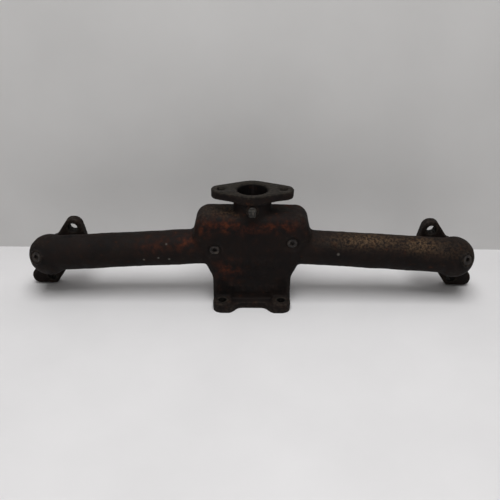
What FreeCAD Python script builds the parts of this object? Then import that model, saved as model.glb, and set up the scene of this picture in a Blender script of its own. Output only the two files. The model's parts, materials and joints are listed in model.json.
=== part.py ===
import FreeCAD, Part
import math
import os
from FreeCAD import Vector

# Log-type intake manifold in grey cast iron: a carburettor flange on a short neck, a plenum with a heat
# pocket under its floor, and two round arms that droop to end elbows with upright port flanges.
#
# Frame, in millimetres: the origin is the centre of the heat pad's bolt pattern, on the pad's face.
# +X runs along the right arm, +Y points at the engine and +Z is up. Both sides of X = 0 are alike, but for
# the two front plugs and the domes.

# ---- driving dimensions --------------------------------------------------------------------------

# carburettor flange and its neck
FLANGE_BOLT_SPACING = 74.6
FLANGE_HOLE_D = 11.1
FLANGE_BORE_D = 36.5
FLANGE_THICKNESS = 10.0
FLANGE_EAR_R = 12.2
FLANGE_HUB_R = 27.0
FLANGE_CHAMFER = 2.2
NECK_WALL = 4.8
NECK_HEIGHT = 16.0
NECK_FILLET_TOP = 4.0

# plenum: an upright block with a crowned outline, seen from the front
WALL = 5.5
PLENUM_INNER_HEIGHT = 77.0
PLENUM_DEPTH = 48.6
PLENUM_BELT_HALF = 73.0
PLENUM_CROWN_HALF = 65.4
PLENUM_CROWN_DROP = 34.0
PLENUM_CROWN_R = 17.0
PLENUM_BELT_R = 16.0
PLENUM_EDGE_R = 13.0
PLENUM_FLOOR_R = 4.0
LEAST_INNER_R = 1.0

# heat box under the plenum, and the pad at its foot
HEAT_BOX_HALF_WIDTH = 48.4
HEAT_BOX_DEPTH = 35.2
HEAT_POCKET_HEIGHT = 33.5
HEAT_POCKET_WALL_X = 9.0
HEAT_POCKET_WALL_Y = 5.6
HEAT_POCKET_R = 8.0
HEAT_BOX_CORNER_R = 6.0
HEAT_BOX_RUN_UP = 6.0
PAD_BOLT_SPACING_X = 73.0
PAD_BOLT_SPACING_Y = 53.0
PAD_HOLE_D = 9.5
PAD_EAR_R = 11.7
PAD_EAR_THICKNESS = 12.5
PAD_LEDGE_THICKNESS = 8.5
PAD_EAR_SLOPE = 9.0
PAD_EAR_FLAT = 0.5
PAD_CREST_IN = 1.0
PAD_CREST_SHARE = 0.6
PAD_VALLEY_SHARE = 0.8
BOLT_HEAD_POCKET_R = 11.5
BOLT_HEAD_POCKET_HEIGHT = 17.0

# arms
ARM_R = 21.8
ARM_WALL = 5.2
ARM_AXIS_ABOVE_FLOOR = 36.3
ARM_DROOP_DEG = 3.45
FRONT_COVER = 0.2

# end elbows and port flanges
PORT_SPACING = 492.0
PORT_Z = 48.6
PORT_BORE_D = 32.0
PORT_BOLT_PCD = 78.0
PORT_BOLT_TILT_DEG = 27.2
PORT_HOLE_D = 11.5
PORT_FACE_Y = 41.4
PORT_THICKNESS = 12.4
PORT_EAR_R = 11.8
PORT_SEAT_R = 22.5
PORT_SHOULDER_R = 25.8
PORT_SHOULDER_IN = 11.0
PORT_FOOT_REACH = 26.1
PORT_FOOT_Z = 1.5
PORT_FOOT_HEIGHT = 20.0
PORT_FOOT_INSIDE = 5.2
PORT_FOOT_LOW_R = 9.0
PORT_FOOT_HIGH_R = 10.0
PORT_FOOT_INNER_R = 2.0
PORT_FOOT_STEP = 3.0
PORT_WEB_OUT = 18.0
PORT_WEB_IN = 10.1
PORT_WEB_TOP = 13.5
PORT_WEB_R = 4.0
ELBOW_R = 25.7
ELBOW_WALL = 5.0
ELBOW_OUT = 7.4
ELBOW_DROP = 2.7
ELBOW_BEHIND_AXIS = 2.5
STUB_SLIMMER = 0.4

# plugs and the bosses that they screw into
THREAD_CLEARANCE = 0.05
PLUG_CHAMFER = 0.7
SMALL_PLUG_D = 10.0
SMALL_PLUG_SQUARE = 7.9
SMALL_PLUG_HEAD = 9.0
SMALL_PLUG_COLLAR = 1.5
NECK_BOSS_R = 7.5
NECK_BOSS_PROUD = 2.5
FRONT_PLUG_D = 12.0
FRONT_PLUG_SOCKET = 5.6
FRONT_PLUG_INSIDE = 3.0
FRONT_SPOT_FACE_R = 9.0
FRONT_SPOT_FACE_DEPTH = 1.6
LEFT_FRONT_PLUG_X = -45.5
LEFT_FRONT_PLUG_Z = 76.2
RIGHT_FRONT_PLUG_X = 48.6
RIGHT_FRONT_PLUG_Z = 86.0
END_PLUG_D = 13.0
END_PLUG_SOCKET = 6.0
END_BOSS_R = 9.0
END_BOSS_PROUD = 1.5
END_PLUG_TURN_DEG = 66.0
END_PLUG_RISE_DEG = 17.0
SOCKET_DEPTH = 4.0

# blank raised foundry marks and two cast domes on the front
MARK_PROUD = 1.2
MARK_WIDTH = 4.4
MARK_GAP = 3.2
MARK_ROOT = 1.0
# each row: height of its middle over the plenum's floor, number of bars, height of a bar
MARK_ROWS = [(19.5, 9, 11.0), (6.0, 5, 7.0), (-16.0, 6, 9.0)]
DOME_R = 7.0
DOME_PROUD = 2.2
DOME_PLACES = [(-26.0, 28.0), (29.0, 25.0)]

# how far a cutter runs past the surface that it opens
OVERRUN = 1.0

# ---- worked out from them ------------------------------------------------------------------------

FLOOR_Z = HEAT_POCKET_HEIGHT + WALL
PLENUM_TOP_Z = FLOOR_Z + PLENUM_INNER_HEIGHT + WALL
BELT_Z = PLENUM_TOP_Z - PLENUM_CROWN_DROP
FLANGE_TOP_Z = PLENUM_TOP_Z + NECK_HEIGHT + FLANGE_THICKNESS
PLENUM_FRONT_Y = -HEAT_BOX_DEPTH / 2
PLENUM_BACK_Y = PLENUM_FRONT_Y + PLENUM_DEPTH
NECK_Y = (PLENUM_FRONT_Y + PLENUM_BACK_Y) / 2
NECK_R = FLANGE_BORE_D / 2 + NECK_WALL
ARM_AXIS_Y = PLENUM_FRONT_Y + ARM_R + FRONT_COVER
ARM_ROOT_Z = FLOOR_Z + ARM_AXIS_ABOVE_FLOOR
PORT_X = PORT_SPACING / 2
PORT_FRONT_Y = PORT_FACE_Y - PORT_THICKNESS
ELBOW_X = PORT_X + ELBOW_OUT
ELBOW_Y = ARM_AXIS_Y + ELBOW_BEHIND_AXIS
ELBOW_Z = ARM_ROOT_Z - ELBOW_X * math.tan(math.radians(ARM_DROOP_DEG)) - ELBOW_DROP

X_AXIS = Vector(1, 0, 0)
Y_AXIS = Vector(0, 1, 0)
Z_AXIS = Vector(0, 0, 1)


# ---- outlines ------------------------------------------------------------------------------------

def on_plan(u, v):
    """A point of an outline that lies flat: u along X and v along Y."""
    return Vector(u, v, 0)


def on_front(u, v):
    """A point of an outline that stands upright: u along X and v along Z."""
    return Vector(u, 0, v)


def rounded_face(corners, place):
    """Flat face inside the corners (u, v, radius), each corner rounded by its own radius."""
    arcs = []
    for index, (u, v, radius) in enumerate(corners):
        corner = Vector(u, v, 0)
        ahead_u, ahead_v, _ = corners[(index + 1) % len(corners)]
        before = (Vector(corners[index - 1][0], corners[index - 1][1], 0) - corner).normalize()
        after = (Vector(ahead_u, ahead_v, 0) - corner).normalize()
        half_angle = before.getAngle(after) / 2
        setback = radius / math.tan(half_angle)
        towards_inside = (before + after).normalize()
        middle = corner + towards_inside * (radius / math.sin(half_angle) - radius)
        arcs.append((corner + before * setback, middle, corner + after * setback))
    edges = []
    for index, (start, middle, end) in enumerate(arcs):
        following = arcs[(index + 1) % len(arcs)][0]
        first, top, last, onward = [place(point.x, point.y) for point in (start, middle, end, following)]
        edges.append(Part.Arc(first, top, last).toShape())
        edges.append(Part.LineSegment(last, onward).toShape())
    return Part.Face(Part.Wire(edges))


def belt_face(first, first_r, second, second_r, place):
    """Flat face inside a belt drawn tight round two circles, whose centres are (u, v)."""
    start = Vector(first[0], first[1], 0)
    end = Vector(second[0], second[1], 0)
    heading = math.atan2(end.y - start.y, end.x - start.x)
    wrap = math.acos((first_r - second_r) / (end - start).Length)

    def rim(centre, radius, angle):
        return place(centre.x + radius * math.cos(angle), centre.y + radius * math.sin(angle))

    left_start = rim(start, first_r, heading + wrap)
    right_start = rim(start, first_r, heading - wrap)
    left_end = rim(end, second_r, heading + wrap)
    right_end = rim(end, second_r, heading - wrap)
    edges = [
        Part.Arc(left_start, rim(start, first_r, heading + math.pi), right_start).toShape(),
        Part.LineSegment(right_start, right_end).toShape(),
        Part.Arc(right_end, rim(end, second_r, heading), left_end).toShape(),
        Part.LineSegment(left_end, left_start).toShape(),
    ]
    return Part.Face(Part.Wire(edges))


def round_edges(solid, radius, chosen):
    """The solid with a fillet on each edge that the test picks."""
    return solid.makeFillet(radius, [edge for edge in solid.Edges if chosen(edge)])


def both_sides(shape):
    """The shape and its mirror image across X = 0."""
    return [shape, shape.mirror(Vector(0, 0, 0), X_AXIS)]


def rod(start, end, radius):
    """Cylinder from one point to another."""
    return Part.makeCylinder(radius, (end - start).Length, start, end - start)


def skewed_pipe(start, start_r, end, end_r):
    """Straight-sided pipe between two circles that both face along Y."""
    first = Part.Wire(Part.Circle(start, Y_AXIS, start_r).toShape())
    last = Part.Wire(Part.Circle(end, Y_AXIS, end_r).toShape())
    return Part.makeLoft([first, last], True, True)


# ---- plenum and heat box -------------------------------------------------------------------------

def plenum_block(inset):
    """The plenum's outer block, or its hollow when inset is the wall's thickness."""
    slope = math.atan2(PLENUM_BELT_HALF - HEAT_BOX_HALF_WIDTH, BELT_Z - HEAT_POCKET_HEIGHT)
    floor_half = HEAT_BOX_HALF_WIDTH + inset * (math.tan(slope) - 1 / math.cos(slope))
    corner_r = max(PLENUM_CROWN_R - inset, LEAST_INNER_R)
    belt_r = max(PLENUM_BELT_R - inset, LEAST_INNER_R)
    edge_r = max(PLENUM_EDGE_R - inset, LEAST_INNER_R)
    floor_z = HEAT_POCKET_HEIGHT + inset
    top_z = PLENUM_TOP_Z - inset
    half = [
        (floor_half, floor_z, PLENUM_FLOOR_R),
        (PLENUM_BELT_HALF - inset, BELT_Z, belt_r),
        (PLENUM_CROWN_HALF - inset, top_z, corner_r),
    ]
    corners = half + [(-x, z, radius) for x, z, radius in reversed(half)]
    face = rounded_face(corners, on_front)
    face.translate(Vector(0, PLENUM_FRONT_Y + inset, 0))
    block = face.extrude(Y_AXIS * (PLENUM_DEPTH - 2 * inset))
    front = PLENUM_FRONT_Y + inset
    back = PLENUM_BACK_Y - inset
    return round_edges(block, edge_r, lambda edge: lies_on_y(edge, front) or lies_on_y(edge, back))


def lies_on_y(edge, y):
    """True where the whole edge lies in the upright plane at y."""
    return abs(edge.BoundBox.YMin - y) < 0.01 and abs(edge.BoundBox.YMax - y) < 0.01


def is_upright(edge):
    """True for a straight vertical edge."""
    box = edge.BoundBox
    return box.XLength < 0.01 and box.YLength < 0.01 and box.ZLength > 1


def heat_box():
    """Walls of the heat pocket. They run up inside the plenum's front, so the front is one flat face."""
    height = FLOOR_Z + PLENUM_EDGE_R + HEAT_BOX_RUN_UP
    corner = Vector(-HEAT_BOX_HALF_WIDTH, -HEAT_BOX_DEPTH / 2, 0)
    block = Part.makeBox(2 * HEAT_BOX_HALF_WIDTH, HEAT_BOX_DEPTH, height, corner)
    return round_edges(block, HEAT_BOX_CORNER_R, is_upright)


def heat_pocket():
    """The hollow that opens downwards in the pad and ends under the plenum's floor."""
    half_x = HEAT_BOX_HALF_WIDTH - HEAT_POCKET_WALL_X
    half_y = HEAT_BOX_DEPTH / 2 - HEAT_POCKET_WALL_Y
    hollow = Part.makeBox(2 * half_x, 2 * half_y, HEAT_POCKET_HEIGHT, Vector(-half_x, -half_y, 0))
    return round_edges(hollow, HEAT_POCKET_R, is_upright)


def pad_bolt_places():
    """Centres of the pad's four bolt holes."""
    return [
        Vector(side * PAD_BOLT_SPACING_X / 2, end * PAD_BOLT_SPACING_Y / 2, 0)
        for side in (-1, 1)
        for end in (-1, 1)
    ]


def pad():
    """Flat pad at the foot: a ledge on all sides, with a thicker ear round each bolt hole."""
    ear_x = PAD_BOLT_SPACING_X / 2
    ledge_y = PAD_BOLT_SPACING_Y / 2
    tip_y = ledge_y + PAD_EAR_R
    inner_x = ear_x - PAD_EAR_R
    quarter = [
        (ear_x + PAD_EAR_R, tip_y, PAD_EAR_R - PAD_EAR_FLAT),
        (inner_x + PAD_CREST_IN, tip_y, PAD_EAR_R * PAD_CREST_SHARE),
        (inner_x - PAD_EAR_SLOPE, ledge_y, PAD_EAR_R * PAD_VALLEY_SHARE),
    ]
    back = quarter + [(-x, y, radius) for x, y, radius in reversed(quarter)]
    front = [(-x, -y, radius) for x, y, radius in back]
    ledge = rounded_face(back + front, on_plan).extrude(Z_AXIS * PAD_LEDGE_THICKNESS)
    ears = [Part.makeCylinder(PAD_EAR_R, PAD_EAR_THICKNESS, place) for place in pad_bolt_places()]
    return [ledge] + ears


def bolt_head_pockets():
    """Scallops in the heat box above the ears, which let a bolt head and its spanner in."""
    lift = Z_AXIS * PAD_EAR_THICKNESS
    pockets = []
    for place in pad_bolt_places():
        shaft = Part.makeCylinder(BOLT_HEAD_POCKET_R, BOLT_HEAD_POCKET_HEIGHT, place + lift)
        dome = Part.makeSphere(BOLT_HEAD_POCKET_R, place + lift + Z_AXIS * BOLT_HEAD_POCKET_HEIGHT)
        pockets.append(shaft.fuse(dome))
    return pockets


# ---- neck and carburettor flange -----------------------------------------------------------------

def neck():
    """Round neck with a fillet under the flange. It runs down behind the plenum's rounded front edge."""
    low = PLENUM_TOP_Z - PLENUM_EDGE_R
    top = PLENUM_TOP_Z + NECK_HEIGHT
    reach_top = NECK_R + NECK_FILLET_TOP
    wall_high = top - NECK_FILLET_TOP
    # the middle of a quarter arc lies this share of the radius off each of its tangents
    bend = NECK_FILLET_TOP * (1 - math.sqrt(0.5))
    edges = [
        Part.LineSegment(Vector(0, 0, low), Vector(NECK_R, 0, low)).toShape(),
        Part.LineSegment(Vector(NECK_R, 0, low), Vector(NECK_R, 0, wall_high)).toShape(),
        Part.Arc(
            Vector(NECK_R, 0, wall_high),
            Vector(NECK_R + bend, 0, top - bend),
            Vector(reach_top, 0, top),
        ).toShape(),
        Part.LineSegment(Vector(reach_top, 0, top), Vector(0, 0, top)).toShape(),
        Part.LineSegment(Vector(0, 0, top), Vector(0, 0, low)).toShape(),
    ]
    turned = Part.Face(Part.Wire(edges)).revolve(Vector(0, 0, 0), Z_AXIS, 360)
    turned.translate(Y_AXIS * NECK_Y)
    return turned


def carburettor_flange():
    """Diamond flange: a hub drawn out to an ear on each side."""
    ear = FLANGE_BOLT_SPACING / 2
    halves = []
    for side in (-1, 1):
        face = belt_face((0, NECK_Y), FLANGE_HUB_R, (side * ear, NECK_Y), FLANGE_EAR_R, on_plan)
        face.translate(Z_AXIS * (FLANGE_TOP_Z - FLANGE_THICKNESS))
        halves.append(face.extrude(Z_AXIS * FLANGE_THICKNESS))
    return halves[0].fuse(halves[1]).removeSplitter()


def outlet_bore():
    """The bore from the plenum up through the flange, with its chamfered mouth."""
    low = PLENUM_TOP_Z - WALL - PLENUM_EDGE_R
    shaft = Part.makeCylinder(FLANGE_BORE_D / 2, FLANGE_TOP_Z - low, Vector(0, NECK_Y, low))
    mouth_r = FLANGE_BORE_D / 2 + FLANGE_CHAMFER
    mouth_z = FLANGE_TOP_Z - FLANGE_CHAMFER
    mouth = Part.makeCone(FLANGE_BORE_D / 2, mouth_r, FLANGE_CHAMFER, Vector(0, NECK_Y, mouth_z))
    return shaft.fuse(mouth)


# ---- arms, elbows and port flanges (right-hand side, mirrored for the left) ----------------------

def arm_point(x):
    """The point of the arm's axis at x."""
    return Vector(x, ARM_AXIS_Y, ARM_ROOT_Z - x * math.tan(math.radians(ARM_DROOP_DEG)))


def elbow_centre():
    """Middle of the rounded elbow at the arm's end."""
    return Vector(ELBOW_X, ELBOW_Y, ELBOW_Z)


def port_centre(y):
    """Middle of the port at depth y."""
    return Vector(PORT_X, y, PORT_Z)


def port_bolt_place(side):
    """Centre of a port bolt hole on the joint face: side 1 is the upper one and -1 the lower one."""
    tilt = math.radians(PORT_BOLT_TILT_DEG)
    reach = side * PORT_BOLT_PCD / 2
    return Vector(PORT_X - reach * math.sin(tilt), PORT_FACE_Y, PORT_Z + reach * math.cos(tilt))


def arm_solids():
    """The arm's tube, its elbow and the stub that turns back to the port."""
    arm = rod(arm_point(PLENUM_BELT_HALF - PLENUM_EDGE_R), arm_point(ELBOW_X), ARM_R)
    elbow = Part.makeSphere(ELBOW_R, elbow_centre())
    stub_r = PORT_BORE_D / 2 + ELBOW_WALL
    stub = skewed_pipe(elbow_centre(), ELBOW_R - STUB_SLIMMER, port_centre(PORT_FRONT_Y + OVERRUN), stub_r)
    return [arm, elbow, stub]


def arm_hollows():
    """The passage from the plenum through the arm and the elbow, and out through the port."""
    arm = rod(arm_point(PLENUM_BELT_HALF - 2 * PLENUM_EDGE_R), arm_point(ELBOW_X), ARM_R - ARM_WALL)
    elbow = Part.makeSphere(ELBOW_R - ELBOW_WALL, elbow_centre())
    stub_r = ELBOW_R - ELBOW_WALL - STUB_SLIMMER
    stub = skewed_pipe(elbow_centre(), stub_r, port_centre(PORT_FRONT_Y), PORT_BORE_D / 2)
    port = rod(port_centre(PORT_FRONT_Y), port_centre(PORT_FACE_Y), PORT_BORE_D / 2)
    return [arm, elbow, stub, port]


def port_flange():
    """Upright flange: an upper ear, a broad seat round the port, and a foot with the lower hole."""
    upper = port_bolt_place(1)
    shoulder = (PORT_X - PORT_SHOULDER_IN, PORT_Z)
    seat = (PORT_X, PORT_Z)
    ear = belt_face(shoulder, PORT_SHOULDER_R, (upper.x, upper.z), PORT_EAR_R, on_front)
    body = belt_face(shoulder, PORT_SHOULDER_R, seat, PORT_SEAT_R, on_front)
    lower = port_bolt_place(-1)
    foot_out = lower.x + PORT_FOOT_REACH
    foot_in = lower.x - PORT_FOOT_INSIDE
    foot_top = PORT_FOOT_Z + PORT_FOOT_HEIGHT
    foot_corners = [
        (foot_in, PORT_FOOT_Z, PORT_FOOT_INNER_R),
        (foot_out, PORT_FOOT_Z, PORT_FOOT_LOW_R),
        (foot_out, foot_top, PORT_FOOT_HIGH_R),
        (PORT_X + PORT_SEAT_R, foot_top + PORT_FOOT_STEP, PORT_FOOT_STEP),
        (PORT_X + PORT_WEB_OUT, PORT_Z, PORT_WEB_R),
        (PORT_X - PORT_WEB_IN, PORT_Z - PORT_WEB_TOP, PORT_WEB_R),
    ]
    foot = rounded_face(foot_corners, on_front)
    plates = []
    for face in (ear, body, foot):
        face.translate(Y_AXIS * PORT_FRONT_Y)
        plates.append(face.extrude(Y_AXIS * PORT_THICKNESS))
    return plates[0].fuse(plates[1:]).removeSplitter()


def port_bolt_holes():
    """Through holes for the two port studs."""
    depth = PORT_THICKNESS + 2 * OVERRUN
    start = Y_AXIS * (PORT_THICKNESS + OVERRUN)
    return [
        Part.makeCylinder(PORT_HOLE_D / 2, depth, port_bolt_place(side) - start, Y_AXIS)
        for side in (-1, 1)
    ]


# ---- plugs ---------------------------------------------------------------------------------------

def hexagon_prism(across_flats, start, direction, length):
    """Six-sided prism, such as the hole for a hexagon key."""
    corner_r = across_flats / math.sqrt(3)
    points = [
        Vector(corner_r * math.cos(math.radians(60 * step)), corner_r * math.sin(math.radians(60 * step)), 0)
        for step in range(7)
    ]
    prism = Part.Face(Part.makePolygon(points)).extrude(Z_AXIS * length)
    prism.Placement = FreeCAD.Placement(start, FreeCAD.Rotation(Z_AXIS, direction))
    return prism


def socket_plug(face, outward, diameter, length, socket):
    """Headless plug whose outer end is flush at face, with a key socket in that end."""
    thread_r = diameter / 2 - THREAD_CLEARANCE
    body = Part.makeCylinder(thread_r, length, face - outward * length, outward)
    rim = [edge for edge in body.Edges if abs(edge.CenterOfMass.distanceToPoint(face)) < 0.01 and edge.Closed]
    body = body.makeChamfer(PLUG_CHAMFER, rim)
    return body.cut(hexagon_prism(socket, face - outward * SOCKET_DEPTH, outward, SOCKET_DEPTH + OVERRUN))


def neck_plug_axis():
    """Mouth of the neck's tapped boss."""
    height = PLENUM_TOP_Z + NECK_HEIGHT / 2
    return Vector(0, NECK_Y - NECK_R - NECK_BOSS_PROUD, height)


def neck_plug():
    """Square-head pipe plug, screwed into the boss on the neck's front."""
    mouth = neck_plug_axis()
    thread_length = NECK_WALL + NECK_BOSS_PROUD
    thread_r = SMALL_PLUG_D / 2 - THREAD_CLEARANCE
    thread = Part.makeCylinder(thread_r, thread_length, mouth, Y_AXIS)
    half = SMALL_PLUG_SQUARE / 2
    corner = mouth + Vector(-half, -SMALL_PLUG_HEAD, -half)
    head = Part.makeBox(SMALL_PLUG_SQUARE, SMALL_PLUG_HEAD, SMALL_PLUG_SQUARE, corner)
    collar = Part.makeCylinder(thread_r, SMALL_PLUG_COLLAR, mouth - Y_AXIS * SMALL_PLUG_COLLAR, Y_AXIS)
    return thread.fuse([head, collar]).removeSplitter()


def front_plug_mouth(x, z):
    """Middle of the spot face of a front plug."""
    return Vector(x, PLENUM_FRONT_Y + FRONT_SPOT_FACE_DEPTH, z)


def front_plug(x, z):
    """Socket plug in the plenum's front wall, flush with its spot face."""
    length = WALL - FRONT_SPOT_FACE_DEPTH + FRONT_PLUG_INSIDE
    return socket_plug(front_plug_mouth(x, z), -Y_AXIS, FRONT_PLUG_D, length, FRONT_PLUG_SOCKET)


def end_plug_direction():
    """The way the right-hand end plug faces, between the arm's axis and the front."""
    turn = math.radians(END_PLUG_TURN_DEG)
    rise = math.radians(END_PLUG_RISE_DEG)
    return Vector(math.cos(turn) * math.cos(rise), -math.sin(turn) * math.cos(rise), math.sin(rise))


def end_plug_mouth():
    """Middle of the right-hand end boss's outer face."""
    return elbow_centre() + end_plug_direction() * (ELBOW_R + END_BOSS_PROUD)


def end_plug():
    """Socket plug in the boss of the right-hand elbow."""
    length = END_BOSS_PROUD + ELBOW_WALL
    return socket_plug(end_plug_mouth(), end_plug_direction(), END_PLUG_D, length, END_PLUG_SOCKET)


# ---- the casting ---------------------------------------------------------------------------------

def marks():
    """Rows of blank raised bars on the front, where a foundry would put its own marks."""
    bars = []
    for rise, count, height in MARK_ROWS:
        pitch = MARK_WIDTH + MARK_GAP
        start_x = -pitch * (count - 1) / 2
        for index in range(count):
            corner = Vector(
                start_x + index * pitch - MARK_WIDTH / 2,
                PLENUM_FRONT_Y - MARK_PROUD,
                FLOOR_Z + rise - height / 2,
            )
            bars.append(Part.makeBox(MARK_WIDTH, MARK_PROUD + MARK_ROOT, height, corner))
    return bars


def domes():
    """Two low round domes left by the foundry beside the front bolt-head pockets."""
    depth = PLENUM_FRONT_Y + DOME_R - DOME_PROUD
    return [Part.makeSphere(DOME_R, Vector(x, depth, z)) for x, z in DOME_PLACES]


def manifold_casting():
    """The whole iron casting: every outer form joined, less its passages, holes and machined seats."""
    solids = [plenum_block(0), heat_box(), neck(), carburettor_flange()] + pad() + marks() + domes()
    for shape in arm_solids() + [port_flange()]:
        solids += both_sides(shape)
    boss_start = elbow_centre()
    solids += both_sides(rod(boss_start, end_plug_mouth(), END_BOSS_R))
    neck_mouth = neck_plug_axis()
    solids.append(rod(neck_mouth, neck_mouth + Y_AXIS * (NECK_BOSS_PROUD + NECK_WALL), NECK_BOSS_R))

    hollows = [plenum_block(WALL), heat_pocket(), outlet_bore()] + bolt_head_pockets()
    for shape in arm_hollows() + port_bolt_holes():
        hollows += both_sides(shape)
    for place in pad_bolt_places():
        depth = PAD_EAR_THICKNESS + 2 * OVERRUN
        hollows.append(Part.makeCylinder(PAD_HOLE_D / 2, depth, place - Z_AXIS * OVERRUN))
    for side in (-1, 1):
        start = Vector(side * FLANGE_BOLT_SPACING / 2, NECK_Y, FLANGE_TOP_Z - FLANGE_THICKNESS - OVERRUN)
        hollows.append(Part.makeCylinder(FLANGE_HOLE_D / 2, FLANGE_THICKNESS + 2 * OVERRUN, start))
    hollows.append(rod(neck_mouth, neck_mouth + Y_AXIS * NECK_R, SMALL_PLUG_D / 2))
    hollows += both_sides(rod(end_plug_mouth(), elbow_centre(), END_PLUG_D / 2))
    for x, z in front_plug_places().values():
        mouth = front_plug_mouth(x, z)
        hollows.append(rod(mouth, mouth + Y_AXIS * WALL, FRONT_PLUG_D / 2))
        hollows.append(rod(mouth, mouth - Y_AXIS * (FRONT_SPOT_FACE_DEPTH + OVERRUN), FRONT_SPOT_FACE_R))

    outer = solids[0].fuse(solids[1:])
    return outer.cut(hollows).removeSplitter()


def front_plug_places():
    """Where the two front plugs sit, by node name."""
    return {
        "left_front_plug": (LEFT_FRONT_PLUG_X, LEFT_FRONT_PLUG_Z),
        "right_front_plug": (RIGHT_FRONT_PLUG_X, RIGHT_FRONT_PLUG_Z),
    }


def main():
    os.makedirs("parts", exist_ok=True)
    right_plug, left_plug = both_sides(end_plug())
    shapes = {
        "manifold_casting": manifold_casting(),
        "neck_plug": neck_plug(),
        "right_end_plug": right_plug,
        "left_end_plug": left_plug,
    }
    for name, (x, z) in front_plug_places().items():
        shapes[name] = front_plug(x, z)
    for name, shape in shapes.items():
        shape.exportStep(f"parts/{name}.step")
        print(name, "solids", len(shape.Solids), "valid", shape.isValid(), "volume", round(shape.Volume))


main()
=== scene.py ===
# %% [markdown]
# An old cast-iron intake manifold. A carburettor stands on the diamond flange at the top, the mixture drops
# into the plenum below it, and two round arms carry it out to the port flanges at the ends. A sand casting
# has soft inside corners, a slightly lumpy skin and crisp faces only where it was machined, so this lesson
# starts from the exact CAD shape and gives it that skin.

# %% Load the frame
import json
import math

import bmesh
import bpy
import numpy as np
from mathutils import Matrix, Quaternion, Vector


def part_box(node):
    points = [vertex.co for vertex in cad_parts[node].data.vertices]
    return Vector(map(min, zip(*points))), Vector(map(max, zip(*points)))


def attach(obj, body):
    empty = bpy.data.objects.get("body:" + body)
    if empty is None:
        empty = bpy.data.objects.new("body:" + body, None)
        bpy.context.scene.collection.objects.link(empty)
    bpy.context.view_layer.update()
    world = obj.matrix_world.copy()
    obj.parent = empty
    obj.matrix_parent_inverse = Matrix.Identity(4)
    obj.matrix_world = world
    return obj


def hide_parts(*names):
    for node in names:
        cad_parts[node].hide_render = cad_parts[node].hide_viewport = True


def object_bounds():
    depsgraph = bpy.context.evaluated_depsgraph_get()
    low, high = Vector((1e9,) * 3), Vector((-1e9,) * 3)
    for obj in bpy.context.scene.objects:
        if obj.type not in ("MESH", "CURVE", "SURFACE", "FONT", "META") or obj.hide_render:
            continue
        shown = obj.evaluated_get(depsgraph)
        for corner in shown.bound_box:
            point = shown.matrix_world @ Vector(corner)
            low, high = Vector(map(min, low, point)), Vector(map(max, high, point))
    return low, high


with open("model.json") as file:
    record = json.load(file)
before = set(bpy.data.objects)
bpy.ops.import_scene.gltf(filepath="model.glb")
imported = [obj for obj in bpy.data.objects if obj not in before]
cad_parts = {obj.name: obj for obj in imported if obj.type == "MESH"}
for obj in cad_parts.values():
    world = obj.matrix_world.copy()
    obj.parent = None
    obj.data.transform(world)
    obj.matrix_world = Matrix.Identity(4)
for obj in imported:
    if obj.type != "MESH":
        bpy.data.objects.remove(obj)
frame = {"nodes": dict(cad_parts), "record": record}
cad_low, cad_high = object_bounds()
print("CAD box", [round(v, 4) for v in cad_low], [round(v, 4) for v in cad_high])

# %% [markdown]
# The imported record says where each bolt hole, bore and joint face is. Reading them here means that the
# masks below follow the casting whatever its size.

# %% Interfaces of the casting
MM = 0.001
record = frame["record"]
mounts = {mount["name"]: mount for mount in record["mounts"]}


def place_of(name):
    """Centre of a mount, in metres."""
    return np.array(mounts[name]["pos_m"], float)


def axis_of(name):
    """Unit vector along a mount's axis."""
    return np.array(mounts[name]["axis"], float)


pad_z = place_of("heat_pad_face")[2]
flange_z = place_of("carburettor_face")[2]
port_y = place_of("right_port_face")[1]
print("flange top", flange_z, "pad", pad_z, "port face", port_y)

# %% [markdown]
# A rusty casting has no single colour, so each finish is mixed from several. They are written as sRGB hex,
# as a paint chart gives them, and one function turns them to the linear values that the shaders need.

# %% Colours and nodes
def linear(hex_colour):
    """sRGB hex to linear RGBA: each channel v becomes ((v + 0.055) / 1.055) to the power 2.4."""
    channels = [int(hex_colour[i:i + 2], 16) / 255 for i in (1, 3, 5)]
    toe = 0.04045
    return tuple(c / 12.92 if c <= toe else ((c + 0.055) / 1.055) ** 2.4 for c in channels) + (1.0,)


def add_node(tree, kind, settings=None, **inputs):
    """Adds a node, sets its properties, and sets or links its inputs, each by name or as in_NUMBER."""
    node = tree.nodes.new(kind)
    for key, value in (settings or {}).items():
        setattr(node, key, value)
    for key, value in inputs.items():
        socket = node.inputs[int(key[3:])] if key.startswith("in_") else node.inputs[key.replace("_", " ")]
        if isinstance(value, bpy.types.NodeSocket):
            tree.links.new(value, socket)
        else:
            socket.default_value = value
    return node


def new_material(name):
    """An empty material with its output node: returns the material, its tree and the output."""
    material = bpy.data.materials.new(name)
    material.use_nodes = True
    material.node_tree.nodes.clear()
    output = material.node_tree.nodes.new("ShaderNodeOutputMaterial")
    return material, material.node_tree, output


def per_metre(size_mm):
    """Scale of a texture whose cells are about size_mm across."""
    return 1000.0 / size_mm


print("linear of mid grey", round(linear("#808080")[0], 3))

# %% [markdown]
# The casting is copied, welded and turned into even quads with a voxel remesh. Even quads matter: the next
# steps move each point by what its neighbours do, and long thin CAD triangles would crease.

# %% Remesh a copy of the casting
VOXEL = 1.15 * MM
WELD_DISTANCE = 0.002 * MM
cad_casting = frame["nodes"]["manifold_casting"]


def applied_copy(source, name, modifiers):
    """A new object with the source's mesh, once the named modifiers and settings are applied to it."""
    work = bpy.data.objects.new(name, source.data.copy())
    bpy.context.scene.collection.objects.link(work)
    for kind, settings in modifiers:
        modifier = work.modifiers.new(kind.title(), kind)
        for key, value in settings.items():
            setattr(modifier, key, value)
    depsgraph = bpy.context.evaluated_depsgraph_get()
    mesh = bpy.data.meshes.new_from_object(work.evaluated_get(depsgraph))
    bpy.data.objects.remove(work)
    done = bpy.data.objects.new(name, mesh)
    bpy.context.scene.collection.objects.link(done)
    return done


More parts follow.
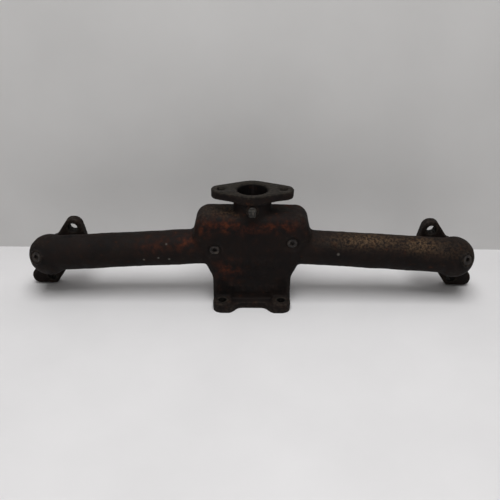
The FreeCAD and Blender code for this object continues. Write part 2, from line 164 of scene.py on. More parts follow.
def weld(mesh, distance):
    """Merges the points of a mesh that lie within the distance."""
    work = bmesh.new()
    work.from_mesh(mesh)
    bmesh.ops.remove_doubles(work, verts=work.verts, dist=distance)
    work.to_mesh(mesh)
    work.free()


welded = applied_copy(cad_casting, "welded", [])
weld(welded.data, WELD_DISTANCE)
voxels = applied_copy(welded, "voxels", [("REMESH", {"mode": "VOXEL", "voxel_size": VOXEL})])
bpy.data.objects.remove(welded)
print("remeshed casting", len(voxels.data.vertices), "points")

# %% [markdown]
# A cast inside corner is never sharp, because the pattern maker rounds it with wax. A one-sided smoothing
# does the same: a point moves towards its neighbours' mean only where that takes it outwards, so hollows
# fill with a fillet and outside edges stay. Holes, bores and machined faces are held back by a mask.

# %% Whole-mesh helpers
def coordinates(mesh):
    """Every point of a mesh as one array of n by 3."""
    values = np.empty(len(mesh.vertices) * 3, np.float32)
    mesh.vertices.foreach_get("co", values)
    return values.reshape(-1, 3).astype(float)


def set_coordinates(mesh, points):
    """Puts an n by 3 array back into the mesh."""
    mesh.vertices.foreach_set("co", points.astype(np.float32).ravel())
    mesh.update()


def edge_pairs(mesh):
    """The two point numbers of every edge."""
    pairs = np.empty(len(mesh.edges) * 2, np.int32)
    mesh.edges.foreach_get("vertices", pairs)
    return pairs.reshape(-1, 2)


def point_normals(mesh):
    """The unit normal at every point."""
    values = np.empty(len(mesh.vertices) * 3, np.float32)
    mesh.vertex_normals.foreach_get("vector", values)
    return values.reshape(-1, 3).astype(float)


def neighbour_mean(values, pairs):
    """For each point, the mean of its neighbours' values (n by k)."""
    total = len(values)
    first, second = pairs[:, 0], pairs[:, 1]
    count = np.bincount(first, minlength=total) + np.bincount(second, minlength=total)
    columns = [
        np.bincount(first, values[second, k], total) + np.bincount(second, values[first, k], total)
        for k in range(values.shape[1])
    ]
    return np.stack(columns, 1) / np.maximum(count, 1)[:, None]


def ramp(values, low, high):
    """0 below low, 1 above high, and a smooth S between them: t squared times (3 - 2t)."""
    t = np.clip((values - low) / (high - low), 0, 1)
    return t * t * (3 - 2 * t)


print("edges", len(voxels.data.edges))

# %% Where the casting is machined
def off_axis(points, centre, axis):
    """Distance of each point from a line, and its place along the line."""
    along = (points - centre) @ axis
    return np.linalg.norm(points - centre - along[:, None] * axis, axis=1), along


def hole_centres():
    """Every bolt hole as (centre, axis, radius), worked out from the record's bolt patterns."""
    holes = []
    for name in ("carburettor_bolts", "heat_pad_bolts"):
        dims = mounts[name]["dims"]
        half_y = dims.get("spacing_y_mm", 0.0) / 2
        rows = [-half_y, half_y] if half_y else [0.0]
        for side in (-1, 1):
            for row in rows:
                offset = np.array([side * dims["spacing_x_mm"] / 2, row, 0]) * MM
                holes.append((place_of(name) + offset, axis_of(name), dims["hole_r_mm"] * MM))
    return holes


PORT_BOLT_TILT = math.radians(27.2)


def port_holes():
    """The two holes of each port flange, on its tilted diameter."""
    holes = []
    for side, name in ((-1, "left_port_bolts"), (1, "right_port_bolts")):
        dims = mounts[name]["dims"]
        reach = dims["pcd_mm"] / 2 * MM
        for end in (-1, 1):
            lean = np.array([-side * end * math.sin(PORT_BOLT_TILT), 0, end * math.cos(PORT_BOLT_TILT)])
            holes.append((place_of(name) + lean * reach, axis_of(name), dims["hole_r_mm"] * MM))
    return holes


BORE_NAMES = ("carburettor_bore", "left_port_bore", "right_port_bore")
bolt_holes = hole_centres() + port_holes()
bores = [(place_of(name), axis_of(name), mounts[name]["dims"]["r_mm"] * MM) for name in BORE_NAMES]
HOLE_HALF_LENGTH = 13 * MM
half_lengths = [HOLE_HALF_LENGTH] * len(bolt_holes)
half_lengths += [mounts[name]["dims"]["length_mm"] / 2 * MM for name in BORE_NAMES]
print("bolt holes", len(bolt_holes), "bores", len(bores))

# each mask is 1 up to the first distance from its feature and 0 past the second
FACE_FADE = (0.3 * MM, 1.6 * MM)
HOLE_FADE = (1.0 * MM, 2.6 * MM)
HOLE_REACH = 32 * MM


def machined_mask(points):
    """1 on the joint faces and in the holes, falling to 0 within 3 mm of them."""
    faces = [
        np.abs(points[:, 2] - flange_z),
        np.abs(points[:, 2] - pad_z),
        np.abs(points[:, 1] - port_y),
    ]
    mask = 1 - ramp(np.min(faces, axis=0), *FACE_FADE)
    for centre, axis, radius in bolt_holes + bores:
        reach, along = off_axis(points, centre, axis)
        near = 1 - ramp(reach, radius + HOLE_FADE[0], radius + HOLE_FADE[1])
        mask = np.maximum(mask, near * (np.abs(along) < HOLE_REACH))
    return mask


PLUGS = ("neck_plug", "left_front_plug", "right_front_plug", "left_end_plug", "right_end_plug")
PLUG_FADE = (1.0 * MM, 3.0 * MM)


def plug_mask(points):
    """1 within 1 mm of a plug's box, where the casting is tapped or spot faced, and 0 past 3 mm."""
    mask = np.zeros(len(points))
    for name in PLUGS:
        low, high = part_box(name)
        outside = np.maximum(np.array(low) - points, points - np.array(high)).max(1)
        mask = np.maximum(mask, 1 - ramp(outside, *PLUG_FADE))
    return mask


SPOT_FACE_DEPTH = 1.6 * MM
front_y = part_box("left_front_plug")[0][1] - SPOT_FACE_DEPTH
MARKS_HALF_WIDTH = 40 * MM
MARKS_TOP = 68 * MM
MARKS_FADE = (1.2 * MM, 2.2 * MM)


def marks_mask(points):
    """1 on the blank raised bars of the front: the fillets leave their gaps open, and they get no wear."""
    close = 1 - ramp(np.abs(points[:, 1] - front_y), *MARKS_FADE)
    return close * (np.abs(points[:, 0]) < MARKS_HALF_WIDTH) * (points[:, 2] < MARKS_TOP)


# %% Fillet the inside corners
FILLET_ROUNDS = 46
FILLET_STEP = 0.5
ROUNDS_PER_NORMAL = 6
SOFTEN_ROUNDS = 3
SOFTEN_STEP = 0.5
HELD_SHARE = 0.85


def fillet(mesh, rounds):
    """Moves a point by half of (neighbours' mean - point), kept only along the normal and only outwards."""
    pairs = edge_pairs(mesh)
    points = coordinates(mesh)
    free = 1 - np.max([machined_mask(points), plug_mask(points), marks_mask(points)], axis=0)
    start = points.copy()
    for index in range(rounds):
        if index % ROUNDS_PER_NORMAL == 0:
            set_coordinates(mesh, points)
            normals = point_normals(mesh)
        pull = neighbour_mean(points, pairs) - points
        outward = np.maximum((pull * normals).sum(1), 0) * free
        points = points + normals * (outward * FILLET_STEP)[:, None]
    set_coordinates(mesh, points)
    return np.linalg.norm(points - start, axis=1).max()


def soften(mesh, rounds):
    """Plain smoothing of every cast surface: it rounds outside edges by about a millimetre."""
    pairs = edge_pairs(mesh)
    points = coordinates(mesh)
    free = 1 - HELD_SHARE * np.maximum(machined_mask(points), plug_mask(points))
    for _ in range(rounds):
        points = points + (neighbour_mean(points, pairs) - points) * (SOFTEN_STEP * free)[:, None]
    set_coordinates(mesh, points)


print("fillets moved points by up to", round(fillet(voxels.data, FILLET_ROUNDS) / MM, 2), "mm")
soften(voxels.data, SOFTEN_ROUNDS)

# %% [markdown]
# Sand leaves its print in the iron. Three layers of value noise push the skin in and out along its normal:
# broad waves from the pattern and the ramming, lumps a few millimetres across, and coarse grain. Machined
# faces keep only a trace. A thin parting line runs along both arms, where the two halves of the mould met.

# %% Cast skin
random = np.random.default_rng(7)
LATTICE = 48
lattice = random.uniform(-1, 1, (LATTICE, LATTICE, LATTICE))


def value_noise(points, cell):
    """Smooth noise from -1 to 1: random values on a grid of the cell's size, blended between 8 corners."""
    scaled = points / cell + 100.0
    base = np.floor(scaled).astype(int)
    t = scaled - base
    t = t * t * (3 - 2 * t)
    total = np.zeros(len(points))
    for corner in range(8):
        bits = np.array([corner & 1, corner >> 1 & 1, corner >> 2 & 1])
        weight = np.prod(np.where(bits, t, 1 - t), axis=1)
        i, j, k = ((base + bits) % LATTICE).T
        total += weight * lattice[i, j, k]
    return total


SKIN_LAYERS = ((24 * MM, 0.42 * MM), (7 * MM, 0.20 * MM), (2.8 * MM, 0.11 * MM))
PARTING_HEIGHT = 0.45 * MM
PARTING_WIDTH = 1.1 * MM
PARTING_FADE = 6 * MM
PARTING_WEAR = 11 * MM
ARM_INNER = 80 * MM
ARM_OUTER = 236 * MM
ARM_AXIS_BEHIND_FRONT = 22.0 * MM
SMOOTHED_SHARE = 0.92


def parting_line(points):
    """Height of the parting line: a bell across the arm's mid plane, broken up by noise."""
    across = points[:, 1] - (front_y + ARM_AXIS_BEHIND_FRONT)
    bell = np.exp(-((across / PARTING_WIDTH) ** 2))
    reach = np.abs(points[:, 0])
    past_inner = ramp(reach, ARM_INNER, ARM_INNER + PARTING_FADE)
    past_outer = ramp(reach, ARM_OUTER - PARTING_FADE, ARM_OUTER)
    worn = 0.65 + 0.35 * value_noise(points, PARTING_WEAR)
    return PARTING_HEIGHT * bell * (past_inner * (1 - past_outer)) * worn


def roughen(mesh):
    """Pushes each point along its normal by the sum of the noise layers and the parting line."""
    points = coordinates(mesh)
    normals = point_normals(mesh)
    rough = 1 - SMOOTHED_SHARE * np.maximum(machined_mask(points), plug_mask(points))
    height = sum(value_noise(points, cell) * depth for cell, depth in SKIN_LAYERS)
    set_coordinates(mesh, points + normals * (height * rough + parting_line(points))[:, None])
    return np.abs(height).max()


print("skin noise up to", round(roughen(voxels.data) / MM, 2), "mm")

# %% [markdown]
# Machining comes last on the real part, so it comes last here: joint faces are set flat, and holes are set
# round again. Then the mesh is thinned, and held inside the CAD box.

# %% Machine, thin and trim
MOST_TRIANGLES = 192000
FACE_SNAP = 0.7 * MM
WALL_SNAP = 0.8 * MM


def machine(points):
    """Snaps points near a joint face onto its plane, and points near a hole's wall onto its cylinder."""
    for column, plane in ((2, flange_z), (2, pad_z), (1, port_y)):
        close = np.abs(points[:, column] - plane) < FACE_SNAP
        points[close, column] = plane
    for (centre, axis, radius), half in zip(bolt_holes + bores, half_lengths):
        reach, along = off_axis(points, centre, axis)
        close = (np.abs(reach - radius) < WALL_SNAP) & (np.abs(along) < half)
        on_axis = centre + along[close, None] * axis
        points[close] = on_axis + (points[close] - on_axis) * (radius / reach[close])[:, None]
    return points


set_coordinates(voxels.data, machine(coordinates(voxels.data)))
triangles = 2 * len(voxels.data.polygons)
thinning = ("DECIMATE", {"ratio": min(1.0, MOST_TRIANGLES / triangles), "use_collapse_triangulate": True})
casting = applied_copy(voxels, "cast_manifold", [thinning])
bpy.data.objects.remove(voxels)
trimmed = np.clip(coordinates(casting.data), np.array(cad_low), np.array(cad_high))
set_coordinates(casting.data, trimmed)
casting.data.polygons.foreach_set("use_smooth", np.ones(len(casting.data.polygons), bool))
print("casting has", len(casting.data.polygons), "triangles")

# %% [markdown]
# Rust, dark hollows, painted shade and wear follow the shape. Outside edges are rubbed, hollows are
# darkened, holes and bores get painted shade inside, and upward faces gather dust. Each is worked out once
# per point and stored as an attribute, which the material then reads.

# %% Wear maps
def soften_values(values, pairs, rounds):
    """Blurs one value per point by taking the mean with its neighbours."""
    column = values[:, None]
    for _ in range(rounds):
        column = 0.5 * column + 0.5 * neighbour_mean(column, pairs)
    return column[:, 0]


def blob(points, centre_mm, size_mm):
    """A bell round a place: exp of minus the sum of (offset / size) squared, with a size for each axis."""
    offset = (points / MM - np.array(centre_mm)) / np.array(size_mm)
    return np.exp(-(offset ** 2).sum(1))


# the front shoulder of the plenum has rusted orange, and the arms rust in patches: (centre, size) in mm
RUST_PATCHES = (
    ((-38, -15, 110), (20, 12, 7)),
    ((-8, -16, 106), (24, 9, 6)),
    ((36, -15, 109), (24, 12, 7)),
    ((-60, -8, 104), (8, 20, 10)),
    ((-82, -9, 84), (13, 12, 9)),
    ((-120, -6, 78), (20, 10, 8)),
    ((-30, -18, 50), (14, 4, 12)),
    ((30, 20, 116), (18, 12, 9)),
)
DUST_PATCHES = (
    ((140, -6, 86), (42, 14, 8)),
    ((206, -6, 80), (20, 14, 8)),
    ((-24, 4, 120), (30, 14, 4)),
    ((238, 4, 66), (30, 18, 12)),
)


def store(mesh, name, values):
    """Writes one value per point into an attribute."""
    attribute = mesh.attributes.new(name, "FLOAT", "POINT")
    attribute.data.foreach_set("value", np.clip(values, 0, 1).astype(np.float32))


WALL_FADE = (0.2 * MM, 0.9 * MM)
MOUTH_FADE = (0.1 * MM, 1.0 * MM)
DEEPEST = 40 * MM


def bored_mask(points):
    """1 on the walls of holes and bores and in the space behind them, from just inside each mouth: painted
    shade goes there.
    """
    mask = np.zeros(len(points))
    for centre, axis, radius in bolt_holes + bores:
        reach, along = off_axis(points, centre, axis)
        mouth = {2: flange_z if axis[2] > 0 else pad_z, 1: port_y}[int(np.abs(axis).argmax())]
        depth = (mouth - points @ np.abs(axis)) * axis.sum()
        near = 1 - ramp(reach, radius + WALL_FADE[0], radius + WALL_FADE[1])
        mask = np.maximum(mask, near * ramp(depth, *MOUTH_FADE) * (depth < DEEPEST))
    return mask


# how far a point lies from its neighbours' mean, in mm, on an edge and in a hollow
EDGE_BEND = (0.015, 0.10)
HOLLOW_BEND = (0.008, 0.07)


def wear_maps(mesh):
    """Stores edge, dark hollows with painted shade in holes, machined, rust and dust on the mesh and returns
    their means.
    """
    points, normals, pairs = coordinates(mesh), point_normals(mesh), edge_pairs(mesh)
    bend = ((neighbour_mean(points, pairs) - points) * normals).sum(1) / MM
    bend = soften_values(bend, pairs, 4)
    inside = bored_mask(points)
    plain = 1 - marks_mask(points)
    maps = {
        "edge": ramp(-bend, *EDGE_BEND) * (1 - inside) * plain,
        # darker in concave creases, and on the walls of holes and bores (inside) it is painted shade
        "dark_hollows_and_hole_shade": np.maximum(soften_values(ramp(bend, *HOLLOW_BEND), pairs, 6) * plain, inside),
        "machined": machined_mask(points) * (1 - inside),
        "rust": sum(blob(points, *patch) for patch in RUST_PATCHES),
        "dust": sum(blob(points, *patch) for patch in DUST_PATCHES) * ramp(normals[:, 2], -0.1, 0.7),
    }
    for name, values in maps.items():
        store(mesh, name, values)
    return {name: round(float(np.clip(values, 0, 1).mean()), 3) for name, values in maps.items()}


print("wear maps", wear_maps(casting.data))

# %% [markdown]
# Rusted cast iron: a sand-cast grey iron that has been through heat and weather. The eye sees a brown-black
# oxide that is almost matt, orange rust where the oxide has broken, fine sand grain, pits, and a dull grey
# where metal rubs. It isn't metallic, because oxide covers it.

# %% Rusted cast-iron finish
def colour_ramp(tree, factor, stops):
    """A ramp node through (place, hex) stops."""
    node = add_node(tree, "ShaderNodeValToRGB", Fac=factor)
    elements = node.color_ramp.elements
    elements[0].position, elements[0].color = stops[0][0], linear(stops[0][1])
    elements[1].position, elements[1].color = stops[-1][0], linear(stops[-1][1])
    for place, colour in stops[1:-1]:
        elements.new(place).color = linear(colour)
    return node.outputs["Color"]


# drops of old paint on the front of the arms: (x, y, z, radius) in mm
PAINT_DROPS = (
    (-104, -12, 82, 2.2),
    (-114, -17, 66, 1.9),
    (-101, -17, 64, 2.1),
    (-132, -17, 63, 1.8),
    (105, -16, 72, 2.8),
)


def rusted_cast_iron():
    """Oxide in patches, with dark hollows, painted shade in holes, rust, dust and bare metal laid over it by
    the wear maps, then paint.
    """
    material, tree, output = new_material("rusted_cast_iron")
    place = add_node(tree, "ShaderNodeTexCoord").outputs["Object"]

    def noise(size_mm, detail, rough=0.55):
        settings = {"Scale": per_metre(size_mm), "Detail": detail, "Roughness": rough}
        return add_node(tree, "ShaderNodeTexNoise", Vector=place, **settings).outputs["Fac"]

    def wear(name):
        return add_node(tree, "ShaderNodeAttribute", {"attribute_name": name}).outputs["Fac"]

    def maths(operation, first, second, clamp=False):
        settings = {"operation": operation, "use_clamp": clamp}
        return add_node(tree, "ShaderNodeMath", settings, in_0=first, in_1=second).outputs[0]

    def stretch(value, low, high):
        smooth = {"interpolation_type": "SMOOTHSTEP"}
        node = add_node(tree, "ShaderNodeMapRange", smooth, Value=value, From_Min=low, From_Max=high)
        return node.outputs["Result"]

    def drop(x, y, z, radius):
        centre = (x * MM, y * MM, z * MM)
        node = add_node(tree, "ShaderNodeVectorMath", {"operation": "DISTANCE"}, in_0=place, in_1=centre)
        reach = node.outputs["Value"]
        return maths("SUBTRACT", 1.0, stretch(reach, radius * 0.3 * MM, radius * MM))

    def over(below, above, share):
        node = add_node(tree, "ShaderNodeMix", {"data_type": "RGBA"}, in_0=share, in_6=below, in_7=above)
        return node.outputs[2]

    patches = noise(38, 5)
    lumps = noise(9, 6, 0.62)
    grain = noise(1.5, 4, 0.65)
    specks = noise(3.2, 3, 0.7)

    oxide_stops = ((0.30, "#0c0a09"), (0.45, "#120e0d"), (0.58, "#1b1310"), (0.72, "#131210"))
    oxide = colour_ramp(tree, patches, oxide_stops)
    mottle = colour_ramp(tree, lumps, ((0.35, "#0a0808"), (0.55, "#18110f"), (0.75, "#281c16")))
    colour = over(oxide, mottle, 0.5)

    # near-black laid into hollows, and painted shade on the walls of holes and bores
    dark_hollows_and_hole_shade_share = maths("MULTIPLY", wear("dark_hollows_and_hole_shade"), 0.85)
    colour = over(colour, linear("#090707"), dark_hollows_and_hole_shade_share)

    rust_stops = ((0.32, "#1d0f0a"), (0.50, "#371a11"), (0.66, "#522917"), (0.80, "#684022"))
    rust_colour = colour_ramp(tree, lumps, rust_stops)
    rust_share = maths("MULTIPLY", wear("rust"), stretch(lumps, 0.36, 0.60))
    scattered = maths("MULTIPLY", stretch(lumps, 0.60, 0.78), 0.32)
    rust_share = maths("ADD", maths("MULTIPLY", rust_share, 0.8), scattered, True)
    colour = over(colour, rust_colour, rust_share)

    dust_share = maths("MULTIPLY", wear("dust"), stretch(specks, 0.36, 0.68))
    colour = over(colour, linear("#6d563e"), maths("MULTIPLY", dust_share, 0.6))

    machined = maths("MULTIPLY", wear("machined"), 0.75)
    faced = colour_ramp(tree, lumps, ((0.35, "#181714"), (0.6, "#24231f"), (0.8, "#33302a")))
    colour = over(colour, faced, machined)

    rubbed = maths("MULTIPLY", wear("edge"), stretch(specks, 0.40, 0.66))
    colour = over(colour, linear("#3a322b"), maths("MULTIPLY", rubbed, 0.5))
    for paint_drop in PAINT_DROPS:
        colour = over(colour, linear("#57534e"), drop(*paint_drop))

    dull = {"From_Min": 0.3, "From_Max": 0.75, "To_Min": 0.62, "To_Max": 0.92}
    roughness = add_node(tree, "ShaderNodeMapRange", Value=lumps, **dull).outputs["Result"]

    sand = add_node(tree, "ShaderNodeBump", Strength=0.55, Distance=0.35 * MM, Height=grain)
    sanded = sand.outputs["Normal"]
    pits = add_node(tree, "ShaderNodeBump", Strength=0.5, Distance=0.8 * MM, Height=specks, Normal=sanded)
    finish = {"Base_Color": colour, "Roughness": roughness, "Normal": pits.outputs["Normal"]}
    shader = add_node(tree, "ShaderNodeBsdfPrincipled", **finish)
    shader.inputs["Specular IOR Level"].default_value = 0.12
    tree.links.new(shader.outputs[0], output.inputs["Surface"])
    return material


iron = rusted_cast_iron()
casting.data.materials.clear()
casting.data.materials.append(iron)
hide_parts("manifold_casting")
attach(casting, "root")
print("material", iron.name, "with", len(iron.node_tree.nodes), "nodes")

# %% [markdown]
# Five steel plugs close the tapped holes. They are turned parts, so each is a profile spun round its axis,
# and the hexagon or square is the same profile with its radius changed by the angle. The neck plug has been
# turned with a spanner and shows some bare steel; the socket plugs have rusted to nearly the iron's colour.

# %% Plug steel
def weathered_steel(name, stops, bare_low, bare_high):
    """Turned steel under a brown film: bare and satin where the blooms pass bare_low to bare_high."""
    material, tree, output = new_material(name)
    place = add_node(tree, "ShaderNodeTexCoord").outputs["Object"]

    def noise(size_mm, detail):
        settings = {"Scale": per_metre(size_mm), "Detail": detail}
        return add_node(tree, "ShaderNodeTexNoise", Vector=place, **settings).outputs["Fac"]

    def spread(value, **span):
        return add_node(tree, "ShaderNodeMapRange", Value=value, **span).outputs["Result"]

    blooms = noise(3.5, 5.0)
    metal = spread(blooms, From_Min=bare_low, From_Max=bare_high)
    dull = spread(blooms, From_Min=bare_low - 0.1, From_Max=bare_high + 0.1, To_Min=0.75, To_Max=0.38)
    bump = add_node(tree, "ShaderNodeBump", Strength=0.35, Distance=0.15 * MM, Height=noise(0.6, 3.0))
    finish = {"Base_Color": colour_ramp(tree, blooms, stops), "Metallic": metal, "Roughness": dull}
    shader = add_node(tree, "ShaderNodeBsdfPrincipled", Normal=bump.outputs["Normal"], **finish)
    tree.links.new(shader.outputs[0], output.inputs["Surface"])
    return material


worn_stops = ((0.34, "#0e0c0a"), (0.50, "#1c1814"), (0.62, "#4a453e"), (0.76, "#827d74"))
rusty_stops = ((0.34, "#0f0c0a"), (0.50, "#1d1613"), (0.64, "#38302a"), (0.76, "#6a655d"))
steel = weathered_steel("weathered_plug_steel", worn_stops, 0.54, 0.68)
rusted_steel = weathered_steel("rusted_plug_steel", rusty_stops, 0.60, 0.72)
print("materials", steel.name, rusted_steel.name)

# %% Spun shapes
AROUND = 96
SHARP_ANGLE = math.radians(35)


def polygon_radius(angle, half_flats, sides):
    """Radius of a regular polygon at each angle: half its flats over the cosine of the angle off a flat."""
    slice_angle = 2 * math.pi / sides
    off_flat = (angle + slice_angle / 2) % slice_angle - slice_angle / 2
    return half_flats / np.cos(off_flat)


def spun_mesh(name, rows, origin, axis):
    """Grid of rows by angles. A row is (radius at each angle, height), and a point closes each end."""
    axis = axis / np.linalg.norm(axis)
    helper = np.array([0.0, 0.0, 1.0]) if abs(axis[2]) < 0.9 else np.array([1.0, 0.0, 0.0])
    side = np.cross(helper, axis)
    side /= np.linalg.norm(side)
    up = np.cross(axis, side)
    angle = np.arange(AROUND) * 2 * math.pi / AROUND
    across, upward = np.outer(np.cos(angle), side), np.outer(np.sin(angle), up)
    rings = [origin + (across + upward) * radius[:, None] + axis * height for radius, height in rows]
    poles = [(origin + axis * rows[end][1])[None] for end in (0, -1)]
    points = np.concatenate([poles[0]] + rings + [poles[1]])
    here = np.arange(AROUND)
    ahead = (here + 1) % AROUND
    faces = [(0, 1 + b, 1 + a) for a, b in zip(here, ahead)]
    for row in range(len(rows) - 1):
        low, high = 1 + row * AROUND, 1 + (row + 1) * AROUND
        faces += [(low + a, low + b, high + b, high + a) for a, b in zip(here, ahead)]
    last, tip = 1 + (len(rows) - 1) * AROUND, len(points) - 1
    faces += [(last + a, last + b, tip) for a, b in zip(here, ahead)]
    mesh = bpy.data.meshes.new(name)
    mesh.from_pydata(points.tolist(), [], faces)
    mesh.validate()
    piece = bpy.data.objects.new(name, mesh)
    bpy.context.scene.collection.objects.link(piece)
    return piece


def finish_plug(piece, node, material):
    """Material, slot, body and the CAD node that the plug stands for."""
    mesh = piece.data
    work = bmesh.new()
    work.from_mesh(mesh)
    bmesh.ops.recalc_face_normals(work, faces=work.faces)
    work.to_mesh(mesh)
    work.free()
    mesh.materials.append(material)
    mesh.polygons.foreach_set("use_smooth", np.ones(len(mesh.polygons), bool))
    mesh.set_sharp_from_angle(angle=SHARP_ANGLE)
    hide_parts(node)
    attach(piece, "root")
    print(piece.name, len(mesh.polygons), "faces")


# %% Socket plugs in the front and in the elbows
ANGLES = np.arange(AROUND) * 2 * math.pi / AROUND
ROUND = np.ones(AROUND)
FORWARD = np.array([0.0, -1.0, 0.0])
FRONT_PLUG_SOCKET = 5.6 * MM
END_PLUG_SOCKET = 6 * MM
SOCKET_DEPTH = 4 * MM


def socket_rows(radius, length, flats, depth):
    """Back of the plug to the bottom of its hexagon socket, with a broken edge and a drilled cone."""
    hexagon = polygon_radius(ANGLES, flats / 2, 6)
    chamfer = 0.7 * MM
    lead_in = 0.4 * MM
    return [
        (ROUND * (radius - chamfer), 0.0),
        (ROUND * radius, chamfer),
        (ROUND * radius, length - chamfer),
        (ROUND * (radius - chamfer * 0.35), length - chamfer * 0.25),
        (ROUND * (radius - chamfer), length),
        (hexagon * 0.5 + ROUND * (flats / 2 + lead_in), length),
        (hexagon, length - lead_in),
        (hexagon, length - depth),
        (ROUND * flats * 0.42, length - depth),
        (ROUND * flats * 0.1, length - depth - 0.8 * MM),
    ]


def front_plug(node):
    """A socket plug that faces -Y, from its CAD box."""
    low, high = (np.array(corner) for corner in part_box(node))
    radius = (high[0] - low[0]) / 2
    origin = np.array([(low[0] + high[0]) / 2, high[1], (low[2] + high[2]) / 2])
    rows = socket_rows(radius, high[1] - low[1], FRONT_PLUG_SOCKET, SOCKET_DEPTH)
    finish_plug(spun_mesh(node + "_turned", rows, origin, FORWARD), node, rusted_steel)


END_PLUG_TURN = math.radians(66)
END_PLUG_RISE = math.radians(17)
END_PLUG_R = 6.45 * MM
END_PLUG_LENGTH = 6.5 * MM


def end_plug(node, side):
    """A socket plug in an elbow's boss, which faces between the arm's axis and the front."""
    low, high = (np.array(corner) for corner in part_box(node))
    level = math.cos(END_PLUG_RISE)
    outwards, forwards = math.cos(END_PLUG_TURN) * level, math.sin(END_PLUG_TURN) * level
    axis = np.array([side * outwards, -forwards, math.sin(END_PLUG_RISE)])
    origin = (low + high) / 2 - axis * END_PLUG_LENGTH / 2
    rows = socket_rows(END_PLUG_R, END_PLUG_LENGTH, END_PLUG_SOCKET, SOCKET_DEPTH)
    finish_plug(spun_mesh(node + "_turned", rows, origin, axis), node, rusted_steel)


front_plug("left_front_plug")
front_plug("right_front_plug")
end_plug("left_end_plug", -1)
end_plug("right_end_plug", 1)

# %% [markdown]
# The neck has a small square-head pipe plug. Its corners are turned off, so the radius at each angle is the
# square's or the turned circle's, whichever is less. The thread shows for a turn or two at the boss.

# %% Square-head plug
THREAD_PITCH = 0.95 * MM
THREAD_DEPTH = 0.45 * MM
NECK_PLUG_R = 4.95 * MM
NECK_PLUG_SQUARE = 7.9 * MM
NECK_PLUG_HEAD = 9.0 * MM


def thread_radius(radius, height):
    """Radius of the thread at a height: a triangle wave of (height / pitch + angle / full turn)."""
    turn = (height / THREAD_PITCH + ANGLES / (2 * math.pi)) % 1.0
    return radius - THREAD_DEPTH * np.abs(2 * turn - 1)


def neck_plug(node):
    """Thread in the boss, a short neck, and the square head with its end rounded over."""
    low, high = (np.array(corner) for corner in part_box(node))
    radius, flats = NECK_PLUG_R, NECK_PLUG_SQUARE
    length = high[1] - low[1]
    square = np.minimum(polygon_radius(ANGLES, flats / 2, 4), ROUND * flats * 0.655)
    thread_end = length - NECK_PLUG_HEAD + 1.2 * MM
    rows = [(ROUND * (radius - THREAD_DEPTH), 0.0)]
    for height in np.arange(0.15 * MM, thread_end, THREAD_PITCH / 6):
        rows.append((thread_radius(radius, height), height))
    rows += [
        (ROUND * (radius - THREAD_DEPTH), thread_end),
        (np.minimum(square, ROUND * (radius - THREAD_DEPTH)), thread_end + 0.3 * MM),
        (square, thread_end + 0.9 * MM),
        (square, length - 1.2 * MM),
        (square * 0.97, length - 0.6 * MM),
        (square * 0.88, length - 0.15 * MM),
        (square * 0.74, length),
        (square * 0.2, length),
    ]
    origin = np.array([(low[0] + high[0]) / 2, high[1], (low[2] + high[2]) / 2])
    finish_plug(spun_mesh(node + "_turned", rows, origin, FORWARD), node, steel)


neck_plug("neck_plug")

# %% [markdown]
# The stage is a matt white board and a pale wall, both plain diffuse and a little mottled, so that they take
# the casting's soft shadow without drawing the eye. They are one-sided, like a stage flat: the wall stands
# close behind the casting, and from behind it is clear, so that the back of the casting can be seen too.

# %% Floor and wall
def matt_board(name, first, second):
    """Matt board whose two near tones drift over about 150 mm."""
    material, tree, output = new_material(name)
    place = add_node(tree, "ShaderNodeTexCoord").outputs["Object"]
    settings = {"Scale": per_metre(150), "Detail": 4.0}
    drift = add_node(tree, "ShaderNodeTexNoise", Vector=place, **settings).outputs["Fac"]
    colour = colour_ramp(tree, drift, ((0.35, first), (0.65, second)))
    shader = add_node(tree, "ShaderNodeBsdfPrincipled", Base_Color=colour, Roughness=0.75).outputs[0]
    clear = add_node(tree, "ShaderNodeBsdfTransparent").outputs[0]
    behind = add_node(tree, "ShaderNodeNewGeometry").outputs["Backfacing"]
    sided = add_node(tree, "ShaderNodeMixShader", in_0=behind, in_1=shader, in_2=clear)
    tree.links.new(sided.outputs[0], output.inputs["Surface"])
    return material


WALL_Y = 0.135
STAGE_HALF = 3.0


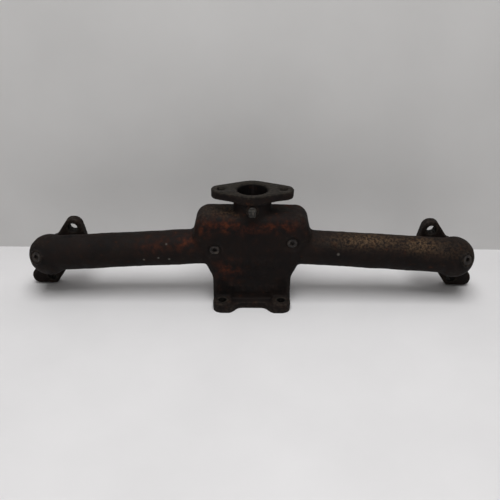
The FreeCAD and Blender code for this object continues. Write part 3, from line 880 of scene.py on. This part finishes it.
def board(name, corners, material):
    """One flat rectangle of the stage."""
    mesh = bpy.data.meshes.new(name)
    mesh.from_pydata(corners, [], [(0, 1, 2, 3)])
    mesh.materials.append(material)
    piece = bpy.data.objects.new(name, mesh)
    bpy.context.scene.collection.objects.link(piece)


floor_board = matt_board("floor_board", "#d8d7d8", "#dddcdd")
wall_paint = matt_board("wall_paint", "#cbcac9", "#d0cfce")
s = STAGE_HALF
board("floor", [(-s, -s, 0), (s, -s, 0), (s, s, 0), (-s, s, 0)], floor_board)
board("wall", [(-s, WALL_Y, 0), (s, WALL_Y, 0), (s, WALL_Y, s), (-s, WALL_Y, s)], wall_paint)
print("stage is", 2 * STAGE_HALF, "m across")

# %% [markdown]
# Light comes from a broad lamp overhead, a little towards the viewer, with a weak even fill from the world.

# %% Light and camera
def area_lamp(name, place, target, size, power):
    """A square lamp at a place that points at a target."""
    data = bpy.data.lights.new(name, "AREA")
    data.size = size
    data.energy = power
    lamp = bpy.data.objects.new(name, data)
    bpy.context.scene.collection.objects.link(lamp)
    lamp.location = place
    aim = np.array(target) - np.array(place)
    lamp.rotation_euler = [math.atan2(np.hypot(aim[0], aim[1]), -aim[2]), 0, math.atan2(-aim[0], aim[1])]


area_lamp("overhead", (0.0, -0.45, 1.5), (0.0, 0.0, 0.05), 0.9, 18.2)

world = bpy.data.worlds.new("fill")
world.use_nodes = True
world.node_tree.nodes["Background"].inputs["Color"].default_value = linear("#eceae8")
world.node_tree.nodes["Background"].inputs["Strength"].default_value = 0.31
bpy.context.scene.world = world

camera_data = bpy.data.cameras.new("camera")
camera_data.sensor_width = 36.0
camera_data.lens = 44.64
camera = bpy.data.objects.new("camera", camera_data)
bpy.context.scene.collection.objects.link(camera)
camera.location = (-0.0024, -0.680, 0.430)
camera.rotation_mode = "QUATERNION"
LOOK_DOWN = math.radians(28)
ROLL = math.radians(0.37)
looking = Quaternion((1, 0, 0), math.radians(90) - LOOK_DOWN)
camera.rotation_quaternion = looking @ Quaternion((0, 0, 1), ROLL)
bpy.context.scene.camera = camera
bpy.context.scene.view_settings.view_transform = "Standard"
print("camera at", tuple(round(v, 3) for v in camera.location))
